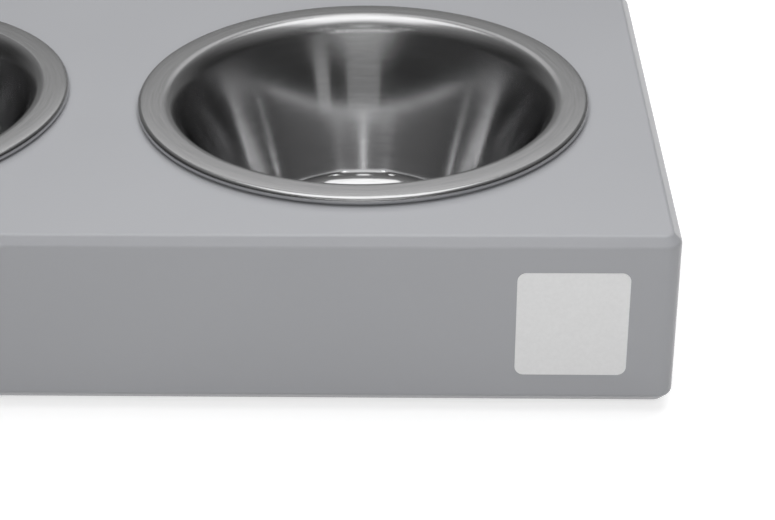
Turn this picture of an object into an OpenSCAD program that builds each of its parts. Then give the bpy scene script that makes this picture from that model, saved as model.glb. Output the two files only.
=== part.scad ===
// Double pet bowl: two drop-in steel bowls in a low lacquered stand of glued boards.
// The origin is the middle of the footprint, on the floor. X runs along the stand, -Y is its front
// and Z is up. Millimetres and degrees.

/* [Stand] */
// Length of the stand over its ends
case_length = 391; // [380:1:430]
// Depth of the stand, front to back
case_depth = 203; // [196:1:230]
// Height of the boarded stand, without its feet
case_height = 62; // [58:0.5:80]
// Thickness of the top panel
top_t = 16; // [13:0.5:19]
// Thickness of the front, back and end boards
board_t = 16; // [13:0.5:19]
// Radius of the upright corners
corner_round = 6; // [4.5:0.5:12]
// Bevel along the top edges
top_bevel = 3; // [1:0.25:4]
// Bevel along the bottom edges
bottom_bevel = 3.5; // [1:0.25:4]
// Thickness of the rail between the bowls
rail_t = 16; // [12:0.5:24]
// Height of the rail between the bowls
rail_height = 40; // [34:1:42]

/* [Bowls] */
// Outer diameter of the rolled rim
rim_d = 160; // [154:1:168]
// Share of the length left beside the two rims that lies between them
rim_gap_share = 0.36; // [0.26:0.01:0.45]
// From the ground to the underside of the bowls
bowl_clear = 6.5; // [2:0.5:20]
// Thickness of the pressed sheet
sheet_t = 0.8; // [0.5:0.1:1.2]
// Outer radius of the curled bead at the rim
bead_r = 1.6; // [1.4:0.1:2.4]
// Width of the flat ring between the bead and the lip
flange_w = 6; // [3:0.5:10]
// Radius of the lip where the flange turns down
lip_r = 5.6; // [3:0.2:8]
// Lean of the wall from upright, in degrees
wall_taper = 20; // [10:1:24]
// Radius where the wall turns into the floor
fillet_r = 10; // [6:0.5:16]
// Room all round between the bowl wall and the hole in the top panel
hole_clearance = 2.3; // [1:0.1:4]
// Width of the eased edge of the hole
hole_ease = 1; // [0.5:0.1:1.5]

/* [Label] */
// Width of the blank label on the front
label_w = 36; // [20:1:60]
// Height of the blank label
label_h = 38; // [20:1:44]
// Thickness of the label
label_t = 0.3; // [0.2:0.1:1]
// Corner radius of the label
label_corner = 3; // [1:0.5:8]
// From the end of the stand to the label
label_from_end = 16; // [12:1:60]
// From the top of the stand to the label
label_from_top = 12; // [6:1:18]

/* [Feet] */
// Side of the square block glued into each corner
block_size = 22; // [19:1:30]
// Diameter of a rubber foot
foot_d = 18; // [13:0.5:20]
// Height of a rubber foot
foot_height = 3; // [2.5:0.5:8]
// How much narrower a foot is at the floor
foot_taper = 2; // [0:0.5:4]
// Shank diameter of a foot screw
screw_d = 3; // [2.5:0.5:4]
// Length of a foot screw under its head
screw_length = 16; // [10:1:25]
// Head diameter of a foot screw
head_d = 6; // [5:0.5:8]
// Head height of a foot screw
head_height = 1.5; // [1:0.1:1.8]

/* [Dowels] */
// Diameter of the wooden dowels
dowel_d = 8; // [6:1:10]
// Length of the wooden dowels
dowel_length = 30; // [24:1:40]
// Depth of the dowel holes bored into a board's face
dowel_face_depth = 11; // [8:0.5:12]
// From a board's long edge to its end dowels
dowel_margin = 10; // [8:0.5:13]
// Spacing of the four dowels along each long board
top_dowel_pitch = 90; // [84:1:100]
// Spacing of the two dowels in the top of each end board
end_dowel_pitch = 90; // [50:1:96]
// Spacing of the two dowels in the top of the rail
rail_dowel_pitch = 60; // [40:1:90]

/* [Hidden] */
$fn = 96;

// Points along each quarter turn of the bowl's section
arc_steps = 10;
// How far a cut runs past the faces it cuts
overrun = 1;
// Height of the bead above the top panel at rest
rest_gap = 0.2;
// Room round a dowel in its hole, and at each of its ends
dowel_fit = 0.05;
dowel_end_gap = 0.5;
dowel_chamfer = 1;
// Room round the foot screw in its block, past its point, in its foot, round its head and under it
screw_fit = 0.05;
pilot_gap = 0.5;
foot_hole_fit = 0.2;
head_fit = 0.7;
head_floor_gap = 0.2;
// Cross recess in the screw head
cross_length = 3.4;
cross_width = 0.8;
cross_depth = 0.8;
// Radius on the edge of a screw head, and the point of a screw
head_edge = 0.5;
point_length = 3;

lacquer = [0.70, 0.70, 0.72];
raw_board = [0.74, 0.62, 0.46];
beech = [0.85, 0.70, 0.50];
steel = [0.78, 0.78, 0.78];
rubber = [0.12, 0.12, 0.12];
label_white = [0.96, 0.96, 0.95];

case_top = foot_height + case_height;
case_bottom = foot_height;
board_top = case_top - top_t;
board_height = board_top - case_bottom;
rail_bottom = board_top - rail_height;
end_inner = case_length / 2 - board_t;
side_inner = case_depth / 2 - board_t;
end_middle = end_inner + board_t / 2;
side_middle = side_inner + board_t / 2;

// Distance between the two bowl axes
bowl_spacing = rim_d + rim_gap_share * (case_length - 2 * rim_d);

// The bowl's section, as radii from its axis and heights over the floor
rim_top = case_top + rest_gap + 2 * bead_r;
bead_axis_r = rim_d / 2 - bead_r;
bead_axis_z = rim_top - bead_r;
lip_axis_r = bead_axis_r - flange_w;
lip_axis_z = rim_top - lip_r;
bowl_floor = bowl_clear + sheet_t;
fillet_axis_z = bowl_floor + fillet_r;
wall_top_r = lip_axis_r - lip_r * cos(wall_taper);
wall_top_z = lip_axis_z + lip_r * sin(wall_taper);
wall_foot_z = fillet_axis_z - fillet_r * sin(wall_taper);
wall_foot_r = wall_top_r - (wall_top_z - wall_foot_z) * tan(wall_taper);
fillet_axis_r = wall_foot_r - fillet_r * cos(wall_taper);
hole_r = wall_top_r + sheet_t + hole_clearance;

// Dowel places: heights at the corners and the rail, and positions along each board
dowel_edge_depth = dowel_length + 2 * dowel_end_gap - dowel_face_depth;
corner_dowel_z = [case_bottom + dowel_margin, board_top - dowel_margin];
rail_dowel_z = [rail_bottom + dowel_margin, board_top - dowel_margin];
top_dowel_places = concat(
  [for (i = [-3 : 2 : 3], y = [-1, 1]) [i * top_dowel_pitch / 2, y * side_middle]],
  [for (x = [-1, 1], y = [-1, 1]) [x * end_middle, y * end_dowel_pitch / 2]],
  [for (y = [-1, 1]) [0, y * rail_dowel_pitch / 2]]
);

// Foot places
foot_x = end_inner - block_size / 2;
foot_y = side_inner - block_size / 2;
head_recess = head_height + head_floor_gap;

// Points on an arc of a section, from one angle to another
function arc(centre_r, centre_z, r, from, to) =
  let (steps = ceil(arc_steps * abs(to - from) / 90))
  [for (i = [0 : steps])
    let (angle = from + (to - from) * i / steps)
    [centre_r + r * cos(angle), centre_z + r * sin(angle)]];

// Upright section through the stand, of width w, with its bevels
module stand_section(w) {
  polygon([
    [-w / 2 + bottom_bevel, 0],
    [w / 2 - bottom_bevel, 0],
    [w / 2, bottom_bevel],
    [w / 2, case_height - top_bevel],
    [w / 2 - top_bevel, case_height],
    [-w / 2 + top_bevel, case_height],
    [-w / 2, case_height - top_bevel],
    [-w / 2, bottom_bevel],
  ]);
}

// The outside of the whole stand, of which each board is a part
module stand_form() {
  translate([0, 0, case_bottom]) {
    rotate([90, 0, 90])
      linear_extrude(case_length - 2 * corner_round, center = true)
        stand_section(case_depth);
    rotate([90, 0, 0])
      linear_extrude(case_depth - 2 * corner_round, center = true)
        stand_section(case_length);
    for (x = [-1, 1], y = [-1, 1])
      translate([x * (case_length / 2 - corner_round), y * (case_depth / 2 - corner_round), 0])
        rotate_extrude()
          intersection() {
            stand_section(2 * corner_round);
            square([corner_round, case_height]);
          }
  }
}

// One dowel hole along Z, into a board's edge below zero and into a board's face above it
module dowel_hole() {
  translate([0, 0, -dowel_edge_depth])
    cylinder(h = dowel_edge_depth + dowel_face_depth, d = dowel_d + 2 * dowel_fit);
}

// One dowel along Z, in the same place as its hole
module dowel() {
  translate([0, 0, dowel_end_gap - dowel_edge_depth])
    rotate_extrude()
      polygon([
        [0, 0],
        [dowel_d / 2 - dowel_chamfer, 0],
        [dowel_d / 2, dowel_chamfer],
        [dowel_d / 2, dowel_length - dowel_chamfer],
        [dowel_d / 2 - dowel_chamfer, dowel_length],
        [0, dowel_length],
      ]);
}

// Places its children at each dowel between a long board and what meets its face
module at_long_board_dowels(places_x, places_z) {
  for (x = places_x, z = places_z, side = [-1, 1])
    translate([x, side * side_inner, z])
      rotate([-90 * side, 0, 0])
        children();
}

module at_corner_dowels() {
  at_long_board_dowels([-end_middle, end_middle], corner_dowel_z)
    children();
}

module at_rail_dowels() {
  at_long_board_dowels([0], rail_dowel_z)
    children();
}

module at_top_dowels() {
  for (place = top_dowel_places)
    translate([place[0], place[1], board_top])
      children();
}

// The panel that carries both bowls, with its two holes
module top_panel() {
  color(lacquer)
    difference() {
      intersection() {
        stand_form();
        translate([-case_length, -case_depth, board_top])
          cube([2 * case_length, 2 * case_depth, case_height]);
      }
      for (side = [-1, 1])
        translate([side * bowl_spacing / 2, 0, 0]) {
          translate([0, 0, board_top - overrun])
            cylinder(h = top_t + 2 * overrun, r = hole_r);
          translate([0, 0, case_top - hole_ease])
            cylinder(h = hole_ease + overrun, r1 = hole_r, r2 = hole_r + hole_ease + overrun);
        }
      at_top_dowels() dowel_hole();
    }
}

// A full-length board, at the back for side 1 and at the front for side -1
module long_board(side) {
  color(lacquer)
    difference() {
      intersection() {
        stand_form();
        rotate([0, 0, 90 - 90 * side])
          translate([-case_length, side_inner, 0])
            cube([2 * case_length, case_depth, board_top]);
      }
      at_corner_dowels() dowel_hole();
      at_rail_dowels() dowel_hole();
      at_top_dowels() dowel_hole();
    }
}

module front_board() {
  long_board(-1);
}

module back_board() {
  long_board(1);
}

// A board between the long boards, at the right for side 1 and at the left for side -1
module end_board(side) {
  color(lacquer)
    difference() {
      intersection() {
        stand_form();
        rotate([0, 0, 90 - 90 * side])
          translate([end_inner, -side_inner, 0])
            cube([case_length, 2 * side_inner, board_top]);
      }
      at_corner_dowels() dowel_hole();
      at_top_dowels() dowel_hole();
    }
}

module left_end_board() {
  end_board(-1);
}

module right_end_board() {
  end_board(1);
}

// The rail that stiffens the top panel between the bowls
module centre_rail() {
  color(raw_board)
    difference() {
      translate([-rail_t / 2, -side_inner, rail_bottom])
        cube([rail_t, 2 * side_inner, rail_height]);
      at_rail_dowels() dowel_hole();
      at_top_dowels() dowel_hole();
    }
}

// A block glued into a corner, which takes the foot screw
module corner_block(side_x, side_y) {
  color(raw_board)
    difference() {
      translate([side_x * foot_x - block_size / 2, side_y * foot_y - block_size / 2, case_bottom])
        cube([block_size, block_size, board_height]);
      translate([side_x * foot_x, side_y * foot_y, 0])
        cylinder(h = head_recess + screw_length + pilot_gap, d = screw_d + 2 * screw_fit);
    }
}

module block_front_left() {
  corner_block(-1, -1);
}

module block_front_right() {
  corner_block(1, -1);
}

module block_back_left() {
  corner_block(-1, 1);
}

module block_back_right() {
  corner_block(1, 1);
}

// The dowels that join the long boards to the end boards
module corner_dowels() {
  color(beech)
    at_corner_dowels() dowel();
}

// The dowels that join the long boards to the rail
module rail_dowels() {
  color(beech)
    at_rail_dowels() dowel();
}

// The dowels that join every board to the top panel
module top_dowels() {
  color(beech)
    at_top_dowels() dowel();
}

// A rubber foot, recessed for the head of its screw
module foot(side_x, side_y) {
  color(rubber)
    translate([side_x * foot_x, side_y * foot_y, 0])
      difference() {
        cylinder(h = foot_height, d1 = foot_d - foot_taper, d2 = foot_d);
        translate([0, 0, -overrun])
          cylinder(h = overrun + head_recess, d = head_d + 2 * head_fit);
        translate([0, 0, -overrun])
          cylinder(h = foot_height + 2 * overrun, d = screw_d + 2 * foot_hole_fit);
      }
}

module foot_front_left() {
  foot(-1, -1);
}

module foot_front_right() {
  foot(1, -1);
}

module foot_back_left() {
  foot(-1, 1);
}

module foot_back_right() {
  foot(1, 1);
}

// The four screws that hold the feet
module foot_screws() {
  color(steel)
    for (x = [-foot_x, foot_x], y = [-foot_y, foot_y])
      translate([x, y, head_floor_gap])
        difference() {
          rotate_extrude()
            polygon([
              [0, 0],
              [head_d / 2 - head_edge, 0],
              [head_d / 2, head_edge],
              [head_d / 2, head_height],
              [screw_d / 2, head_height],
              [screw_d / 2, head_height + screw_length - point_length],
              [0, head_height + screw_length],
            ]);
          for (turn = [0, 90])
            rotate([0, 0, turn])
              translate([-cross_length / 2, -cross_width / 2, -overrun])
                cube([cross_length, cross_width, overrun + cross_depth]);
        }
}

// The blank label on the front, near the right end
module label() {
  color(label_white)
    translate([
      case_length / 2 - label_from_end - label_w / 2,
      -case_depth / 2,
      case_top - label_from_top - label_h / 2,
    ])
      rotate([90, 0, 0])
        linear_extrude(label_t) {
          square([label_w - 2 * label_corner, label_h], center = true);
          square([label_w, label_h - 2 * label_corner], center = true);
          for (x = [-1, 1], y = [-1, 1])
            translate([x * (label_w / 2 - label_corner), y * (label_h / 2 - label_corner)])
              circle(label_corner);
        }
}

// A pressed bowl: floor, fillet, leaning wall, lip, flat flange and curled bead
module bowl(side) {
  color(steel)
    translate([side * bowl_spacing / 2, 0, 0])
      rotate_extrude()
        polygon(concat(
          [[0, bowl_floor]],
          arc(fillet_axis_r, fillet_axis_z, fillet_r, -90, -wall_taper),
          arc(lip_axis_r, lip_axis_z, lip_r, 180 - wall_taper, 90),
          arc(bead_axis_r, bead_axis_z, bead_r, 90, -180),
          arc(bead_axis_r, bead_axis_z, bead_r - sheet_t, -180, 90),
          arc(lip_axis_r, lip_axis_z, lip_r - sheet_t, 90, 180 - wall_taper),
          arc(fillet_axis_r, fillet_axis_z, fillet_r + sheet_t, -wall_taper, -90),
          [[0, bowl_floor - sheet_t]]
        ));
}

module bowl_left() {
  bowl(-1);
}

module bowl_right() {
  bowl(1);
}

top_panel();
front_board();
back_board();
left_end_board();
right_end_board();
centre_rail();
block_front_left();
block_front_right();
block_back_left();
block_back_right();
corner_dowels();
rail_dowels();
top_dowels();
foot_front_left();
foot_front_right();
foot_back_left();
foot_back_right();
foot_screws();
label();
bowl_left();
bowl_right();
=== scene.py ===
import math

import bpy
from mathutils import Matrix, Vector


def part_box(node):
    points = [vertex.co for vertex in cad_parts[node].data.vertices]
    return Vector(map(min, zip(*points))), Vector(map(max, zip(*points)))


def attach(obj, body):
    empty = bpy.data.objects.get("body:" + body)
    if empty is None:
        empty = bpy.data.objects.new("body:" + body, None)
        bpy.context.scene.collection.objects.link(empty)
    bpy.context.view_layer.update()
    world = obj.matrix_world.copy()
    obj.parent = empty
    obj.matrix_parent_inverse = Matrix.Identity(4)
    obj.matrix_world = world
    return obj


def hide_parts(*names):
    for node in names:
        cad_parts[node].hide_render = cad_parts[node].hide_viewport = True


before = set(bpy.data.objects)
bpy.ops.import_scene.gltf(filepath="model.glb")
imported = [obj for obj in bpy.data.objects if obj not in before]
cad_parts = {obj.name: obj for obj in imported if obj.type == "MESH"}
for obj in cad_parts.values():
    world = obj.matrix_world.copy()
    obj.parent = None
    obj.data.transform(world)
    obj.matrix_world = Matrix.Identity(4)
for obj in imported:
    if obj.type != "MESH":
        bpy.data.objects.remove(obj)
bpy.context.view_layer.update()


# Boards of the stand
# Fine fibreboard, glued and dowelled into an open-bottomed box. Its upright corners are rounded,
# its top and bottom edges bevelled, all is sanded and sprayed with satin grey lacquer.

BOARDS = ["top_panel", "front_board", "back_board", "left_end_board", "right_end_board"]
CORNER_ROUND = 0.006
CORNER_STEPS = 10
TOP_BEVEL = 0.003
BOTTOM_BEVEL = 0.0035
SANDED_EDGE = 0.0007
SANDED_STEPS = 4
SEAT_R = 0.07024
SEAT_STEPS = 160
SEAT_EASE = 0.001
EASE_STEPS = 3
DOWEL_FIT = 0.00005
FOLD_ANGLE = math.radians(20)
BOARD_SMOOTH = math.radians(30)

# How close two places count as near each other, as the same place, and as one point
NEAR = 0.001
SAME = 0.0001
WELD = 0.000001

LACQUER_DARK = (0.408, 0.413, 0.434, 1)
LACQUER_PALE = (0.426, 0.431, 0.452, 1)
LACQUER_SHINE = 0.22
LACQUER_DULL = 0.28
LACQUER_IOR = 1.48
CORE_DARK = (0.30, 0.225, 0.155, 1)
CORE_PALE = (0.43, 0.335, 0.235, 1)
RAW_ROUGH = 0.85
TONE_SPAN = (0.3, 0.7)
stand_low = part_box("front_board")[0]
stand_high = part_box("top_panel")[1]
panel_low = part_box("top_panel")[0]
board_thick = stand_high[2] - panel_low[2]


def pick_only(piece):
    bpy.ops.object.select_all(action="DESELECT")
    piece.select_set(True)
    bpy.context.view_layer.objects.active = piece


def select_edges(piece, wanted):
    """Selects the edges that pass the test on their two ends, and leaves the piece in edit mode."""
    bpy.ops.object.mode_set(mode="EDIT")
    bpy.ops.mesh.select_mode(type="EDGE")
    bpy.ops.mesh.select_all(action="DESELECT")
    bpy.ops.object.mode_set(mode="OBJECT")
    for edge in piece.data.edges:
        first, second = (piece.data.vertices[index].co for index in edge.vertices)
        edge.select = wanted(first, second)
    bpy.ops.object.mode_set(mode="EDIT")


def bevel_selected(width, segments):
    bpy.ops.mesh.bevel(offset=width, segments=segments, affect="EDGES")
    bpy.ops.object.mode_set(mode="OBJECT")


def shape_box():
    """The outside of the glued-up box, with round corners and bevels along its top and bottom."""
    bpy.ops.object.select_all(action="DESELECT")
    bpy.ops.mesh.primitive_cube_add(size=1, location=(stand_low + stand_high) / 2)
    box = bpy.context.object
    box.scale = stand_high - stand_low
    bpy.ops.object.transform_apply(location=True, rotation=True, scale=True)
    select_edges(box, lambda a, b: (a.xy - b.xy).length < NEAR)
    bevel_selected(CORNER_ROUND, CORNER_STEPS)
    select_edges(box, lambda a, b: min(a.z, b.z) > stand_high[2] - NEAR)
    bevel_selected(TOP_BEVEL, 1)
    select_edges(box, lambda a, b: max(a.z, b.z) < stand_low[2] + NEAR)
    bevel_selected(BOTTOM_BEVEL, 1)
    select_edges(box, lambda a, b: False)
    bpy.ops.mesh.edges_select_sharp(sharpness=FOLD_ANGLE)
    bevel_selected(SANDED_EDGE, SANDED_STEPS)
    return box


def saw_board(box, node):
    """A copy of the box, sawn off along each face where the board meets another or the inside."""
    board = box.copy()
    board.data = box.data.copy()
    board.name = "lacquered_" + node
    board.data.name = board.name
    bpy.context.scene.collection.objects.link(board)
    pick_only(board)
    low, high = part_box(node)
    for axis in range(3):
        for face, end, way in ((low, stand_low, -1), (high, stand_high, 1)):
            if abs(face[axis] - end[axis]) < SAME:
                continue
            normal = [0, 0, 0]
            normal[axis] = way
            bpy.ops.object.mode_set(mode="EDIT")
            bpy.ops.mesh.select_all(action="SELECT")
            bpy.ops.mesh.bisect(plane_co=face, plane_no=normal, use_fill=True, clear_outer=True)
            bpy.ops.object.mode_set(mode="OBJECT")
    return board


def cut_with(board, cutter):
    cut = board.modifiers.new("cut", "BOOLEAN")
    cut.operation = "DIFFERENCE"
    cut.solver = "EXACT"
    cut.object = cutter
    pick_only(board)
    bpy.ops.object.modifier_apply(modifier="cut")


def bore_sockets(board, dowels):
    """Bores a socket round each dowel of a group, a little wider and deeper than the dowel."""
    cutter = bpy.data.objects.new("socket_cutter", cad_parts[dowels].data.copy())
    bpy.context.scene.collection.objects.link(cutter)
    pick_only(cutter)
    bpy.ops.object.mode_set(mode="EDIT")
    bpy.ops.mesh.select_all(action="SELECT")
    bpy.ops.mesh.remove_doubles(threshold=WELD)
    bpy.ops.transform.shrink_fatten(value=DOWEL_FIT)
    bpy.ops.object.mode_set(mode="OBJECT")
    cut_with(board, cutter)
    bpy.data.objects.remove(cutter)


def cut_seat(panel, axis_x):
    """Routs the round hole for a bowl and eases its upper edge."""
    bpy.ops.object.select_all(action="DESELECT")
    bpy.ops.mesh.primitive_cylinder_add(
        vertices=SEAT_STEPS,
        radius=SEAT_R,
        depth=3 * board_thick,
        location=(axis_x, 0, stand_high[2] - board_thick / 2),
    )
    cutter = bpy.context.object
    bpy.ops.object.transform_apply(location=True, rotation=True, scale=True)
    cut_with(panel, cutter)
    bpy.data.objects.remove(cutter)
    axis = Vector((axis_x, 0))
    reach = SEAT_R + NEAR
    select_edges(panel, lambda a, b: (
        min(a.z, b.z) > stand_high[2] - SAME
        and (a.xy - axis).length < reach
        and (b.xy - axis).length < reach
    ))
    bevel_selected(SEAT_EASE, EASE_STEPS)


def smooth_flats(piece):
    """Rounds the shading of the sanded edges, and keeps it flat on the faces beside them."""
    pick_only(piece)
    bpy.ops.object.shade_smooth_by_angle(angle=BOARD_SMOOTH)
    flats = piece.modifiers.new("flats", "WEIGHTED_NORMAL")
    flats.keep_sharp = True
    flats.weight = 100
    bpy.ops.object.modifier_apply(modifier="flats")


def new_material(name):
    """An empty node material with an output, a Principled BSDF and object coordinates."""
    material = bpy.data.materials.new(name)
    material.use_nodes = True
    nodes = material.node_tree.nodes
    nodes.clear()
    output = nodes.new("ShaderNodeOutputMaterial")
    surface = nodes.new("ShaderNodeBsdfPrincipled")
    place = nodes.new("ShaderNodeTexCoord")
    material.node_tree.links.new(surface.outputs["BSDF"], output.inputs["Surface"])
    return material, surface, place.outputs["Object"]


def add_node(tree, kind, inputs=None, **settings):
    """A node with its settings, whose inputs are linked to sockets or set to values."""
    node = tree.nodes.new(kind)
    for key, value in settings.items():
        setattr(node, key, value)
    for key, value in (inputs or {}).items():
        if isinstance(value, bpy.types.NodeSocket):
            tree.links.new(value, node.inputs[key])
        else:
            node.inputs[key].default_value = value
    return node


def add_tone(tree, factor, dark, pale):
    """A colour that runs from dark to pale over the middle of a noise."""
    ramp = add_node(tree, "ShaderNodeValToRGB", {"Fac": factor})
    for stop, place, colour in zip(ramp.color_ramp.elements, TONE_SPAN, (dark, pale)):
        stop.position = place
        stop.color = colour
    return ramp.outputs["Color"]


def give_material(piece, material):
    piece.data.materials.clear()
    piece.data.materials.append(material)


def speckle_group():
    """Shared group: even noise at a given grain size, as a value and as a bump normal."""
    group = bpy.data.node_groups.new("fine_speckle", "ShaderNodeTree")
    group.interface.new_socket("Place", in_out="INPUT", socket_type="NodeSocketVector")
    for label, value in (("Scale", 500.0), ("Bump", 0.1), ("Height", 0.0001)):
        socket = group.interface.new_socket(label, in_out="INPUT", socket_type="NodeSocketFloat")
        socket.default_value = value
    group.interface.new_socket("Value", in_out="OUTPUT", socket_type="NodeSocketFloat")
    group.interface.new_socket("Normal", in_out="OUTPUT", socket_type="NodeSocketVector")
    entry = group.nodes.new("NodeGroupInput")
    leave = group.nodes.new("NodeGroupOutput")
    noise = add_node(group, "ShaderNodeTexNoise", {
        "Vector": entry.outputs["Place"],
        "Scale": entry.outputs["Scale"],
        "Detail": 3.0,
        "Roughness": 0.55,
    })
    bump = add_node(group, "ShaderNodeBump", {
        "Strength": entry.outputs["Bump"],
        "Distance": entry.outputs["Height"],
        "Height": noise.outputs["Fac"],
    })
    group.links.new(noise.outputs["Fac"], leave.inputs["Value"])
    group.links.new(bump.outputs["Normal"], leave.inputs["Normal"])
    return group


fine_speckle = speckle_group()


def add_speckle(tree, place, scale, bump, height):
    """The shared speckle with this material's grain size, strength and height of its bumps."""
    node = tree.nodes.new("ShaderNodeGroup")
    node.node_tree = fine_speckle
    tree.links.new(place, node.inputs["Place"])
    node.inputs["Scale"].default_value = scale
    node.inputs["Bump"].default_value = bump
    node.inputs["Height"].default_value = height
    return node


def inside_mask(tree, place):
    """1 on the hidden inner faces of the box, 0 on its lacquered outside."""
    parts = add_node(tree, "ShaderNodeSeparateXYZ", {"Vector": place})
    slack = 0.0005
    limits = (
        ("X", stand_high[0] - board_thick + slack),
        ("Y", stand_high[1] - board_thick + slack),
    )
    mask = add_node(tree, "ShaderNodeMath", {
        0: parts.outputs["Z"],
        1: panel_low[2] + slack,
    }, operation="LESS_THAN").outputs[0]
    for axis, limit in limits:
        size = add_node(tree, "ShaderNodeMath", {0: parts.outputs[axis]}, operation="ABSOLUTE")
        near = add_node(tree, "ShaderNodeMath", {
            0: size.outputs[0],
            1: limit,
        }, operation="LESS_THAN")
        mask = add_node(tree, "ShaderNodeMath", {
            0: mask,
            1: near.outputs[0],
        }, operation="MULTIPLY").outputs[0]
    return mask


def make_lacquer():
    """Grey lacquer with a faint orange peel outside, and thin overspray on the raw board inside."""
    material, surface, place = new_material("grey_lacquer")
    tree = material.node_tree
    cloud = add_node(tree, "ShaderNodeTexNoise", {"Vector": place, "Scale": 9.0, "Detail": 2.0})
    coat = add_tone(tree, cloud.outputs["Fac"], LACQUER_DARK, LACQUER_PALE)
    peel = add_speckle(tree, place, scale=260.0, bump=0.10, height=0.00008)
    fibre = add_node(tree, "ShaderNodeTexNoise", {"Vector": place, "Scale": 420.0, "Detail": 4.0})
    core = add_tone(tree, fibre.outputs["Fac"], CORE_DARK, CORE_PALE)
    dust = add_node(tree, "ShaderNodeTexNoise", {"Vector": place, "Scale": 35.0, "Detail": 6.0})
    overspray = add_node(tree, "ShaderNodeMapRange", {
        "Value": dust.outputs["Fac"],
        "From Min": 0.35,
        "From Max": 0.75,
        "To Min": 1.0,
        "To Max": 0.55,
    })
    bare = add_node(tree, "ShaderNodeMath", {
        0: inside_mask(tree, place),
        1: overspray.outputs["Result"],
    }, operation="MULTIPLY")
    colour = add_node(tree, "ShaderNodeMix", {
        "Factor": bare.outputs[0],
        "A": coat,
        "B": core,
    }, data_type="RGBA")
    rough_coat = add_node(tree, "ShaderNodeMapRange", {
        "Value": peel.outputs["Value"],
        "To Min": LACQUER_SHINE,
        "To Max": LACQUER_DULL,
    })
    rough = add_node(tree, "ShaderNodeMix", {
        "Factor": bare.outputs[0],
        "A": rough_coat.outputs["Result"],
        "B": RAW_ROUGH,
    })
    tree.links.new(colour.outputs["Result"], surface.inputs["Base Color"])
    tree.links.new(rough.outputs["Result"], surface.inputs["Roughness"])
    tree.links.new(peel.outputs["Normal"], surface.inputs["Normal"])
    surface.inputs["IOR"].default_value = LACQUER_IOR
    return material


lacquer = make_lacquer()
box = shape_box()
for node in BOARDS:
    board = saw_board(box, node)
    bore_sockets(board, "top_dowels")
    if node != "top_panel":
        bore_sockets(board, "corner_dowels")
    if node in ("front_board", "back_board"):
        bore_sockets(board, "rail_dowels")
    if node == "top_panel":
        for bowl in ("bowl_left", "bowl_right"):
            low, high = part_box(bowl)
            cut_seat(board, (low[0] + high[0]) / 2)
    smooth_flats(board)
    give_material(board, lacquer)
    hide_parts(node)
    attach(board, "stand")
bpy.data.objects.remove(box)


# Centre rail and corner blocks
# Offcuts of the same fibreboard, left unsprayed: a rail glued and dowelled under the panel
# between the bowls, and a block in each corner that takes a foot screw.

BLOCKS = [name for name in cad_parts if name.startswith("block_")]
SAWN_DARK = (0.30, 0.225, 0.155, 1)
SAWN_PALE = (0.46, 0.36, 0.255, 1)
SAW_MARKS = (1.0, 1.0, 90.0)


def make_raw_board():
    """Bare fibreboard with fine fibres, shaded by the level marks of the saw."""
    material, surface, place = new_material("raw_fibreboard")
    tree = material.node_tree
    fibre = add_speckle(tree, place, scale=520.0, bump=0.35, height=0.0002)
    stretch = add_node(tree, "ShaderNodeMapping", {"Vector": place, "Scale": SAW_MARKS})
    saw = add_node(tree, "ShaderNodeTexNoise", {
        "Vector": stretch.outputs["Vector"],
        "Scale": 14.0,
        "Detail": 3.0,
    })
    shade = add_node(tree, "ShaderNodeMapRange", {
        "Value": saw.outputs["Fac"],
        "To Min": 0.88,
        "To Max": 1.08,
    })
    colour = add_node(tree, "ShaderNodeMix", {
        "Factor": 1.0,
        "A": add_tone(tree, fibre.outputs["Value"], SAWN_DARK, SAWN_PALE),
        "B": shade.outputs["Result"],
    }, data_type="RGBA", blend_type="MULTIPLY")
    tree.links.new(colour.outputs["Result"], surface.inputs["Base Color"])
    tree.links.new(fibre.outputs["Normal"], surface.inputs["Normal"])
    surface.inputs["Roughness"].default_value = RAW_ROUGH
    return material


raw_fibreboard = make_raw_board()
for name in ["centre_rail"] + BLOCKS:
    give_material(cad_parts[name], raw_fibreboard)


# Dowels
# Turned beech pins with chamfered ends, glued into every joint between the boards, the rail and
# the top panel. They show only when a joint is taken apart.

DOWELS = ["corner_dowels", "rail_dowels", "top_dowels"]
BEECH_DARK = (0.50, 0.33, 0.19, 1)
BEECH_PALE = (0.66, 0.48, 0.31, 1)
BEECH_ROUGH = 0.6
BEECH_GRAIN = (1.0, 1.0, 0.12)


def make_beech():
    """Beech with its fine grain drawn out, in colour and as a slight bump."""
    material, surface, place = new_material("turned_beech")
    tree = material.node_tree
    stretch = add_node(tree, "ShaderNodeMapping", {"Vector": place, "Scale": BEECH_GRAIN})
    grain = add_node(tree, "ShaderNodeTexNoise", {
        "Vector": stretch.outputs["Vector"],
        "Scale": 900.0,
        "Detail": 4.0,
    })
    bump = add_node(tree, "ShaderNodeBump", {
        "Strength": 0.3,
        "Distance": 0.0001,
        "Height": grain.outputs["Fac"],
    })
    tone = add_tone(tree, grain.outputs["Fac"], BEECH_DARK, BEECH_PALE)
    tree.links.new(tone, surface.inputs["Base Color"])
    tree.links.new(bump.outputs["Normal"], surface.inputs["Normal"])
    surface.inputs["Roughness"].default_value = BEECH_ROUGH
    return material


turned_beech = make_beech()
for name in DOWELS:
    give_material(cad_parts[name], turned_beech)


# Rubber feet
# Four moulded rubber discs under the corner blocks, each narrower at the floor, with rounded
# edges, a shallow ring in its face and a recess for the head of its screw.

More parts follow.
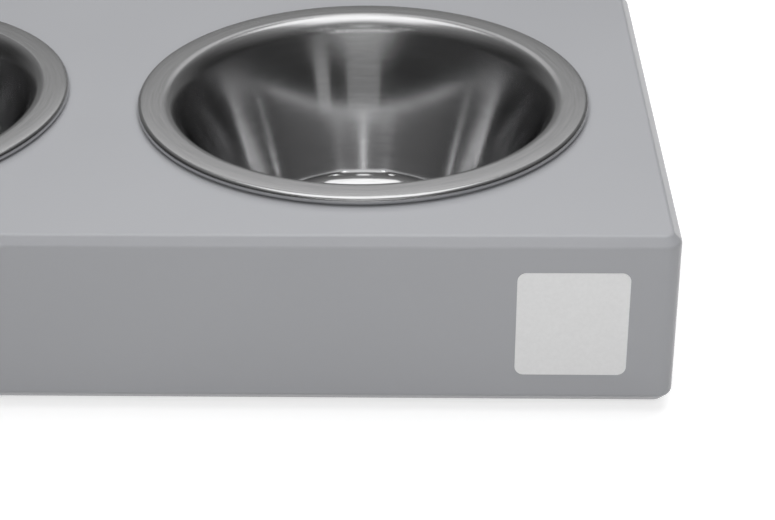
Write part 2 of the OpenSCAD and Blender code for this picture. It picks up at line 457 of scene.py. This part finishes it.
FEET = [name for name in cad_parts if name.startswith("foot_") and name != "foot_screws"]
FOOT_TAPER = 0.001
FOOT_EDGE = 0.0006
FOOT_EDGE_STEPS = 5
FOOT_BORE_R = 0.0017
FOOT_RECESS_R = 0.0037
FOOT_RECESS = 0.0017
FOOT_RING = ((0.0064, 0.0), (0.0061, 0.00035), (0.0054, 0.00035), (0.0051, 0.0))
FOOT_STEPS = 64
FOOT_SMOOTH = math.radians(40)
RUBBER_DARK = (0.012, 0.012, 0.013, 1)
RUBBER_PALE = (0.026, 0.026, 0.027, 1)
RUBBER_ROUGH = 0.62


def arc_points(centre_r, centre_z, radius, start, end, count):
    """Points of an arc in a turned section, as (radius from the axis, height)."""
    points = []
    for i in range(count + 1):
        angle = math.radians(start + (end - start) * i / count)
        points.append((centre_r + radius * math.cos(angle), centre_z + radius * math.sin(angle)))
    return points


def spin_section(name, centre_x, centre_y, section, steps):
    """Draws a section point by point and spins it round an upright axis."""
    bpy.ops.object.select_all(action="DESELECT")
    bpy.ops.mesh.primitive_plane_add(size=0.01, location=(0, 0, 0))
    piece = bpy.context.object
    piece.name = name
    piece.data.name = name
    bpy.ops.object.mode_set(mode="EDIT")
    bpy.ops.mesh.select_mode(type="VERT")
    bpy.ops.mesh.select_all(action="SELECT")
    bpy.ops.mesh.merge(type="CENTER")
    first_r, first_z = section[0]
    bpy.ops.transform.translate(value=(centre_x + first_r, centre_y, first_z))
    for (from_r, from_z), (to_r, to_z) in zip(section, section[1:]):
        bpy.ops.mesh.extrude_region_move(
            TRANSFORM_OT_translate={"value": (to_r - from_r, 0, to_z - from_z)}
        )
    bpy.ops.mesh.select_all(action="SELECT")
    bpy.ops.mesh.spin(
        steps=steps,
        angle=2 * math.pi,
        center=(centre_x, centre_y, 0),
        axis=(0, 0, 1),
        use_auto_merge=True,
    )
    bpy.ops.mesh.select_all(action="SELECT")
    bpy.ops.mesh.remove_doubles(threshold=WELD)
    bpy.ops.mesh.normals_make_consistent(inside=False)
    bpy.ops.object.mode_set(mode="OBJECT")
    bpy.ops.object.origin_set(type="ORIGIN_CURSOR")
    return piece


def foot_section(low, high):
    """The closed outline of a foot, from its bore over the top, down its side and under."""
    top_r = (high[0] - low[0]) / 2
    edge_r = top_r - FOOT_TAPER - FOOT_EDGE
    edge_z = low[2] + FOOT_EDGE
    section = [(FOOT_BORE_R, high[2]), (top_r - FOOT_EDGE / 2, high[2])]
    section += [(top_r, high[2] - FOOT_EDGE / 2)]
    section += arc_points(edge_r, edge_z, FOOT_EDGE, 0, -90, FOOT_EDGE_STEPS)
    section += [(radius, low[2] + height) for radius, height in FOOT_RING]
    section += [(FOOT_RECESS_R + FOOT_EDGE / 2, low[2]), (FOOT_RECESS_R, low[2] + FOOT_EDGE / 2)]
    section += [(FOOT_RECESS_R, low[2] + FOOT_RECESS), (FOOT_BORE_R, low[2] + FOOT_RECESS)]
    return section + section[:1]


def make_speckled(name, dark, pale, rough, metal, scale, bump, height):
    """A material of two close tones in a fine speckle, which roughens its surface too."""
    material, surface, place = new_material(name)
    tree = material.node_tree
    grain = add_speckle(tree, place, scale, bump, height)
    tone = add_tone(tree, grain.outputs["Value"], dark, pale)
    tree.links.new(tone, surface.inputs["Base Color"])
    tree.links.new(grain.outputs["Normal"], surface.inputs["Normal"])
    surface.inputs["Roughness"].default_value = rough
    surface.inputs["Metallic"].default_value = metal
    return material


black_rubber = make_speckled(
    "black_rubber", RUBBER_DARK, RUBBER_PALE, RUBBER_ROUGH,
    metal=0.0, scale=1500.0, bump=0.25, height=0.0001,
)
for node in FEET:
    low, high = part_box(node)
    middle = (low + high) / 2
    section = foot_section(low, high)
    foot = spin_section("rubber_" + node, middle[0], middle[1], section, FOOT_STEPS)
    bpy.ops.object.shade_smooth_by_angle(angle=FOOT_SMOOTH)
    give_material(foot, black_rubber)
    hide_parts(node)
    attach(foot, "stand")


# Foot screws
# Four steel screws with pan heads and a cross recess, zinc plated. Each is sunk into the middle
# of a foot and driven into the corner block above it.

ZINC_DARK = (0.50, 0.50, 0.49, 1)
ZINC_PALE = (0.62, 0.62, 0.60, 1)
ZINC_ROUGH = 0.38

zinc_plate = make_speckled(
    "zinc_plate", ZINC_DARK, ZINC_PALE, ZINC_ROUGH,
    metal=1.0, scale=1800.0, bump=0.08, height=0.00005,
)
give_material(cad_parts["foot_screws"], zinc_plate)


# Blank label
# A thin plate of satin white film with rounded corners and nothing on it, stuck flat on the
# front near its right end.

FILM_DARK = (0.90, 0.90, 0.90, 1)
FILM_PALE = (0.94, 0.94, 0.94, 1)
FILM_ROUGH = 0.45

white_film = make_speckled(
    "white_film", FILM_DARK, FILM_PALE, FILM_ROUGH,
    metal=0.0, scale=900.0, bump=0.03, height=0.00005,
)
give_material(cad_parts["label"], white_film)


# Steel bowls
# Each is one pressing of thin stainless sheet: a floor, a fillet, a leaning wall and a lip that
# turns over a barely crowned flange into a curled bead. The rim is satin, the inside polished.

SHEET = 0.0008
BEAD_R = 0.0016
FLANGE_W = 0.0070
FLANGE_CROWN = 0.00012
LIP_R = 0.0045
SHOULDER_R = 0.012
SHOULDER_LEAN = 46
WALL_LEAN = 20
FILLET_R = 0.010

# Where the section has points: shares of the floor and of the flange, and steps of the rest
FLOOR_SHARES = (0.02, 0.15, 0.35, 0.55, 0.75, 0.9, 0.97)
FLANGE_SHARES = (0.06, 0.3, 0.5, 0.65, 0.8, 0.92)
FILLET_STEPS = 20
WALL_STEPS = 10
SHOULDER_STEPS = 10
LIP_STEPS = 10
BEAD_STEPS = 24
BEAD_START = 86
BEAD_END = -180
TURN_STEPS = 192
MAP_RUN = 4

# The polish ends and the satin begins between these two radii
SATIN_FROM = 0.0590
SATIN_TO = 0.0665
POLISHED_ROUGH = 0.11
SATIN_ROUGH = 0.24
LINE_ROUGH = 0.03
LINE_SCALE = 1200.0
LINE_RUN = 0.004
POLISHED_STREAK = 0.3
SATIN_STREAK = 0.0
STEEL_DARK = (0.52, 0.52, 0.525, 1)
STEEL_PALE = (0.58, 0.58, 0.585, 1)


def bowl_section(node):
    """The upper face of the pressing, from the middle of its floor to the end of its curl."""
    low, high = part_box(node)
    rim_top = high[2]
    wall = math.radians(WALL_LEAN)
    shoulder = math.radians(SHOULDER_LEAN)
    bead_r = (high[0] - low[0]) / 2 - BEAD_R
    lip_r = bead_r - FLANGE_W
    lip_z = rim_top - LIP_R
    shoulder_r = lip_r + (SHOULDER_R - LIP_R) * math.cos(shoulder)
    shoulder_z = lip_z - (SHOULDER_R - LIP_R) * math.sin(shoulder)
    floor_z = low[2] + SHEET
    fillet_z = floor_z + FILLET_R
    wall_top_r = shoulder_r - SHOULDER_R * math.cos(wall)
    wall_top_z = shoulder_z + SHOULDER_R * math.sin(wall)
    wall_foot_z = fillet_z - FILLET_R * math.sin(wall)
    wall_foot_r = wall_top_r - (wall_top_z - wall_foot_z) * math.tan(wall)
    fillet_r = wall_foot_r - FILLET_R * math.cos(wall)
    section = [(fillet_r * share, floor_z) for share in FLOOR_SHARES]
    section += arc_points(fillet_r, fillet_z, FILLET_R, -90, -WALL_LEAN, FILLET_STEPS)
    for i in range(1, WALL_STEPS):
        share = i / WALL_STEPS
        section.append((
            wall_foot_r + (wall_top_r - wall_foot_r) * share,
            wall_foot_z + (wall_top_z - wall_foot_z) * share,
        ))
    wall_end = 180 - WALL_LEAN
    shoulder_end = 180 - SHOULDER_LEAN
    section += arc_points(
        shoulder_r, shoulder_z, SHOULDER_R, wall_end, shoulder_end, SHOULDER_STEPS
    )
    section += arc_points(lip_r, lip_z, LIP_R, shoulder_end, 90, LIP_STEPS)[1:]
    for share in FLANGE_SHARES:
        drop = FLANGE_CROWN * max(0, 2 * share - 1) ** 2
        section.append((lip_r + FLANGE_W * share, rim_top - drop))
    bead_z = rim_top - FLANGE_CROWN - BEAD_R
    section += arc_points(bead_r, bead_z, BEAD_R, BEAD_START, BEAD_END, BEAD_STEPS)
    return section


def turn_bowl(name, node, axis_x):
    """Spins the section and closes the small hole that it leaves in the middle of the floor."""
    section = bowl_section(node)
    bowl = spin_section(name, axis_x, 0, section, TURN_STEPS)
    hub_reach = section[0][0] * 1.5
    select_edges(bowl, lambda a, b: (
        math.hypot(a.x - axis_x, a.y) < hub_reach
        and math.hypot(b.x - axis_x, b.y) < hub_reach
    ))
    bpy.ops.mesh.edge_face_add()
    bpy.ops.mesh.poke()
    bpy.ops.mesh.select_all(action="SELECT")
    bpy.ops.mesh.normals_make_consistent(inside=False)
    bpy.ops.object.mode_set(mode="OBJECT")
    bpy.ops.object.shade_smooth()
    return bowl


def face_up(bowl, axis_x):
    """Turns the sheet's faces so that the floor looks up, before it gets its thickness."""
    axis = Vector((axis_x, 0))
    floor = min(bowl.data.polygons, key=lambda face: (face.center.xy - axis).length)
    if floor.normal.z < 0:
        bpy.ops.object.mode_set(mode="EDIT")
        bpy.ops.mesh.select_all(action="SELECT")
        bpy.ops.mesh.flip_normals()
        bpy.ops.object.mode_set(mode="OBJECT")


def give_thickness(bowl):
    sheet = bowl.modifiers.new("sheet", "SOLIDIFY")
    sheet.thickness = SHEET
    sheet.offset = -1.0
    sheet.use_even_offset = True
    bpy.context.view_layer.objects.active = bowl
    bpy.ops.object.modifier_apply(modifier="sheet")


def give_turned_map(bowl, axis_x):
    """A UV map whose U runs round the bowl and whose V runs out from its middle."""
    layer = bowl.data.uv_layers.new(name="turned")
    for face in bowl.data.polygons:
        corners = []
        for loop_index in face.loop_indices:
            co = bowl.data.vertices[bowl.data.loops[loop_index].vertex_index].co
            corners.append((loop_index, math.atan2(co.y, co.x - axis_x) / (2 * math.pi), co))
        turns = [corner[1] for corner in corners]
        wraps = max(turns) - min(turns) > 0.5
        for loop_index, turn, co in corners:
            u = turn + 1 if wraps and turn < 0 else turn
            v = (math.hypot(co.x - axis_x, co.y) + co.z) * MAP_RUN
            layer.data[loop_index].uv = (u, v)


def make_steel():
    """Steel with fine lines round the bowl: polished inside, and turning satin over the lip."""
    material, surface, place = new_material("turned_steel")
    tree = material.node_tree
    low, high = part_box("bowl_right")
    axis_x = (low[0] + high[0]) / 2
    parts = add_node(tree, "ShaderNodeSeparateXYZ", {"Vector": place})
    size = add_node(tree, "ShaderNodeMath", {0: parts.outputs["X"]}, operation="ABSOLUTE")
    local = add_node(tree, "ShaderNodeMath", {0: size.outputs[0], 1: axis_x}, operation="SUBTRACT")
    flat = add_node(tree, "ShaderNodeCombineXYZ", {"X": local.outputs[0], "Y": parts.outputs["Y"]})
    radius = add_node(tree, "ShaderNodeVectorMath", {0: flat.outputs[0]}, operation="LENGTH")
    angle = add_node(tree, "ShaderNodeMath", {
        0: parts.outputs["Y"],
        1: local.outputs[0],
    }, operation="ARCTAN2")
    around = add_node(tree, "ShaderNodeMath", {
        0: angle.outputs[0],
        1: LINE_RUN,
    }, operation="MULTIPLY")
    lathe = add_node(tree, "ShaderNodeCombineXYZ", {
        "X": radius.outputs["Value"],
        "Y": around.outputs[0],
        "Z": parts.outputs["Z"],
    })
    lines = add_node(tree, "ShaderNodeTexNoise", {
        "Vector": lathe.outputs[0],
        "Scale": LINE_SCALE,
        "Detail": 3.0,
        "Roughness": 0.6,
    })
    polish = add_node(tree, "ShaderNodeMapRange", {
        "Value": radius.outputs["Value"],
        "From Min": SATIN_FROM,
        "From Max": SATIN_TO,
        "To Min": POLISHED_ROUGH,
        "To Max": SATIN_ROUGH,
    }, interpolation_type="SMOOTHSTEP")
    rough = add_node(tree, "ShaderNodeMath", {
        0: lines.outputs["Fac"],
        1: LINE_ROUGH,
        2: polish.outputs["Result"],
    }, operation="MULTIPLY_ADD")
    streak = add_node(tree, "ShaderNodeMapRange", {
        "Value": radius.outputs["Value"],
        "From Min": SATIN_FROM,
        "From Max": SATIN_TO,
        "To Min": POLISHED_STREAK,
        "To Max": SATIN_STREAK,
    })
    tone = add_tone(tree, lines.outputs["Fac"], STEEL_DARK, STEEL_PALE)
    turned = add_node(tree, "ShaderNodeTangent", direction_type="UV_MAP", uv_map="turned")
    tree.links.new(tone, surface.inputs["Base Color"])
    tree.links.new(rough.outputs[0], surface.inputs["Roughness"])
    tree.links.new(streak.outputs["Result"], surface.inputs["Anisotropic"])
    tree.links.new(turned.outputs["Tangent"], surface.inputs["Tangent"])
    surface.inputs["Metallic"].default_value = 1.0
    surface.inputs["Anisotropic Rotation"].default_value = 0.25
    return material


turned_steel = make_steel()
for name, node, body in (
    ("steel_bowl_left", "bowl_left", "left_bowl"),
    ("steel_bowl_right", "bowl_right", "right_bowl"),
):
    low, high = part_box(node)
    axis_x = (low[0] + high[0]) / 2
    bowl = turn_bowl(name, node, axis_x)
    face_up(bowl, axis_x)
    give_thickness(bowl)
    give_turned_map(bowl, axis_x)
    give_material(bowl, turned_steel)
    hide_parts(node)
    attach(bowl, body)


# Floor, light and camera
# A white studio floor under a dim tent, with a softbox for a roof, one low at the back and small
# lamps round the camera, whose reflections draw the steel. Two fills light only the matt faces.

FLOOR_SIZE = 12.0
FLOOR_DARK = (0.59, 0.59, 0.59, 1)
FLOOR_PALE = (0.61, 0.61, 0.61, 1)
FLOOR_ROUGH = 0.9
FLOOR_GLOW = 0.65
BOWL_PLACE = Vector((0.0928, 0.0, 0.05))

# Name, turn, lift, distance, width, height and glow of each light that the steel mirrors
SOFTBOXES = (
    ("softbox_roof", 0, 90, 1.2, 1.1, 1.2, 1.35),
    ("softbox_back", 0, 38, 1.5, 1.0, 0.55, 0.5),
    ("strip_back", 0, 56, 1.5, 0.09, 0.4, 2.6),
    ("softbox_camera", 180, 45, 0.9, 0.14, 0.10, 1.6),
    ("panel_camera", 180, 27.5, 0.9, 0.55, 0.18, 1.0),
    ("lamp_low", -162, 26, 1.5, 0.06, 0.07, 6.0),
    ("lamp_high", -152, 37, 1.5, 0.06, 0.07, 7.0),
    ("lamp_low", 162, 26, 1.5, 0.06, 0.07, 6.0),
    ("lamp_high", 152, 37, 1.5, 0.06, 0.07, 7.0),
    ("strip_middle", 180, 14, 1.5, 0.60, 0.4, 0.24),
    ("strip_right", 151, 14, 1.5, 0.24, 0.4, 0.34),
)

# The same of each fill, which no reflection shows
FILLS = (
    ("fill_overhead", 0, 62, 1.6, 2.0, 1.6, 1.2),
    ("fill_front", 180, 30, 1.0, 0.6, 0.6, 2.4),
)

# The tent's brightness by height, the sine of a direction's lift, and what its back adds by depth
TENT_LOW = 0.03
TENT_HIGH = 0.40
TENT_LEVELS = ((0.34, 0.035), (0.5, 0.08), (0.64, 0.16), (0.77, 0.24))
BACK_FROM = 0.4
BACK_TO = 0.95
BACK_LEVEL = 0.19

# The place and turn of the camera, its lens in millimetres and its shift
CAMERA_PLACE = (0.10478, -0.70528, 0.40093)
CAMERA_TURN = (60.4753, 1.193, 2.4748)
CAMERA_LENS = 101.593
CAMERA_SHIFT = (0.1247, -0.0039)


def make_floor():
    """A pale paper floor that camera and mirror rays see as white, and that keeps the shadow."""
    bpy.ops.object.select_all(action="DESELECT")
    bpy.ops.mesh.primitive_plane_add(size=FLOOR_SIZE, location=(0, 0, 0))
    floor = bpy.context.object
    floor.name = "studio_floor"
    material, surface, place = new_material("floor_paper")
    tree = material.node_tree
    tone = add_node(tree, "ShaderNodeTexNoise", {"Vector": place, "Scale": 3.0})
    colour = add_node(tree, "ShaderNodeValToRGB", {"Fac": tone.outputs["Fac"]})
    colour.color_ramp.elements[0].color = FLOOR_DARK
    colour.color_ramp.elements[1].color = FLOOR_PALE
    rays = tree.nodes.new("ShaderNodeLightPath")
    seen = add_node(tree, "ShaderNodeMath", {
        0: rays.outputs["Is Camera Ray"],
        1: rays.outputs["Is Glossy Ray"],
    }, operation="ADD")
    shown = add_node(tree, "ShaderNodeMath", {
        0: seen.outputs[0],
        1: rays.outputs["Is Transmission Ray"],
    }, operation="ADD")
    glow = add_node(tree, "ShaderNodeMath", {
        0: shown.outputs[0],
        1: FLOOR_GLOW,
    }, operation="MULTIPLY")
    tree.links.new(colour.outputs["Color"], surface.inputs["Base Color"])
    surface.inputs["Roughness"].default_value = FLOOR_ROUGH
    surface.inputs["Specular IOR Level"].default_value = 0.0
    surface.inputs["Emission Color"].default_value = (1, 1, 1, 1)
    tree.links.new(glow.outputs[0], surface.inputs["Emission Strength"])
    give_material(floor, material)


def add_softbox(name, turn, lift, distance, width, height, glow, seen):
    """A softbox aimed at the right bowl. Turn 0 is behind it and 90 to its right, lift is upward."""
    turn = math.radians(turn)
    lift = math.radians(lift)
    way = Vector((math.sin(turn) * math.cos(lift), math.cos(turn) * math.cos(lift), math.sin(lift)))
    light = bpy.data.lights.new(name, "AREA")
    light.shape = "RECTANGLE"
    light.size = width
    light.size_y = height
    light.energy = glow * math.pi * width * height
    lamp = bpy.data.objects.new(name, light)
    lamp.location = BOWL_PLACE + way * distance
    lamp.rotation_euler = way.to_track_quat("Z", "Y").to_euler()
    lamp.visible_glossy = seen
    bpy.context.scene.collection.objects.link(lamp)


def light_tent():
    """The tent round the table: bright overhead, dim at the sides, lighter at the back."""
    world = bpy.data.worlds.new("studio")
    bpy.context.scene.world = world
    world.use_nodes = True
    tree = world.node_tree
    sky = tree.nodes["Background"]
    sky.inputs["Color"].default_value = (1, 1, 1, 1)
    way = add_node(tree, "ShaderNodeTexCoord")
    parts = add_node(tree, "ShaderNodeSeparateXYZ", {"Vector": way.outputs["Generated"]})
    roof = add_node(tree, "ShaderNodeValToRGB", {"Fac": parts.outputs["Z"]})
    ramp = roof.color_ramp
    ramp.elements[0].color = (TENT_LOW, TENT_LOW, TENT_LOW, 1)
    ramp.elements[1].color = (TENT_HIGH, TENT_HIGH, TENT_HIGH, 1)
    for height, level in TENT_LEVELS:
        ramp.elements.new(height).color = (level, level, level, 1)
    behind = add_node(tree, "ShaderNodeMapRange", {
        "Value": parts.outputs["Y"],
        "From Min": BACK_FROM,
        "From Max": BACK_TO,
        "To Min": 0.0,
        "To Max": BACK_LEVEL,
    })
    total = add_node(tree, "ShaderNodeMath", {
        0: roof.outputs["Color"],
        1: behind.outputs["Result"],
    }, operation="ADD")
    tree.links.new(total.outputs[0], sky.inputs["Strength"])


make_floor()
for softbox in SOFTBOXES:
    add_softbox(*softbox, seen=True)
for fill in FILLS:
    add_softbox(*fill, seen=False)
light_tent()

camera_data = bpy.data.cameras.new("camera")
camera_data.lens = CAMERA_LENS
camera_data.shift_x, camera_data.shift_y = CAMERA_SHIFT
camera_data.clip_start = 0.01
camera = bpy.data.objects.new("camera", camera_data)
camera.location = CAMERA_PLACE
camera.rotation_euler = [math.radians(angle) for angle in CAMERA_TURN]
bpy.context.scene.collection.objects.link(camera)
bpy.context.scene.camera = camera

bpy.context.scene.view_settings.view_transform = "Standard"
